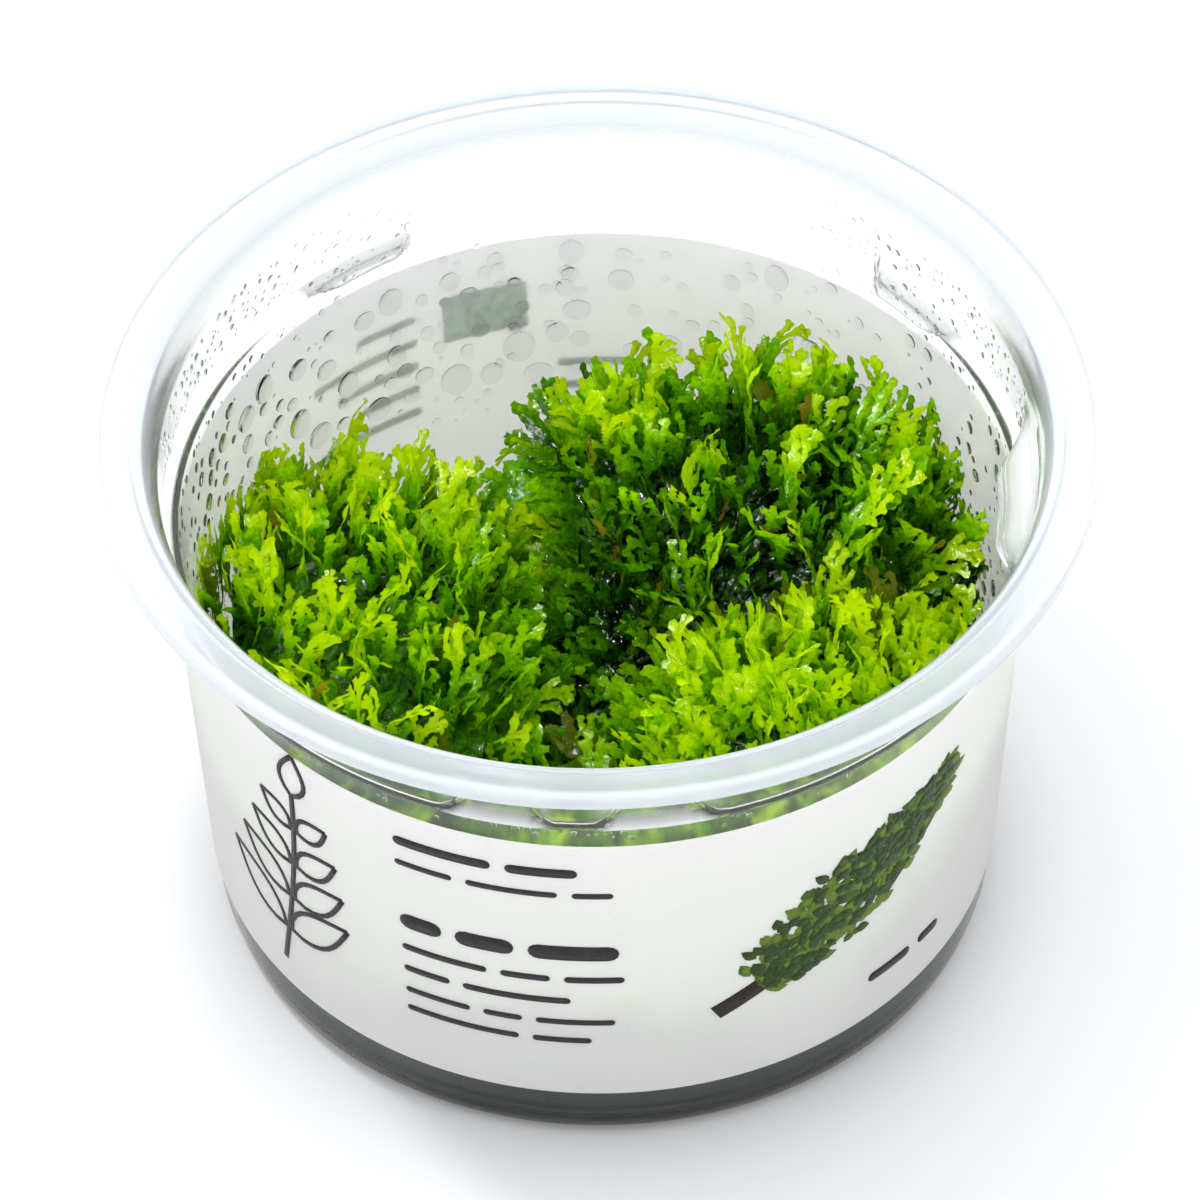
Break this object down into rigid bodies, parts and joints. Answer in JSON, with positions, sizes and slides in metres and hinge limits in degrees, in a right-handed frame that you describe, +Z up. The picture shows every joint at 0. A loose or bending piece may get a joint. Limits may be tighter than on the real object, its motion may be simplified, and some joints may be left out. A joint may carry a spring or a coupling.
{
  "type": "tissue culture riccardia chamedryfolia",
  "caption": "Clear round cup with a sealing flange, wrap-around label and nutrient gel, holding clumps of branching green liverwort grown by tissue culture.",
  "frame": {"origin": "centre of the foot ring's underside, on the cup's axis", "axes": "+Z up along the cup's axis, -Y towards the front of the label, +X to the right seen from the front"},
  "size_m": [0.1, 0.1, 0.0616],
  "materials": {
    "clear_plastic": "clear, slightly milky moulded plastic with a smooth shine",
    "label": "white film label, satin, with grey and green print",
    "gel": "cloudy grey-green jelly with a wet top",
    "thallus": "wet green plant tissue, thin and slightly see-through, from yellow-green tips to dark green below"
  },
  "bodies": {
    "root": {"cup": "clear_plastic", "label": "label", "nutrient_gel": "gel", "clump_left": "thallus", "clump_back": "thallus", "clump_right": "thallus", "clump_front": "thallus"}
  },
  "joints": []
}
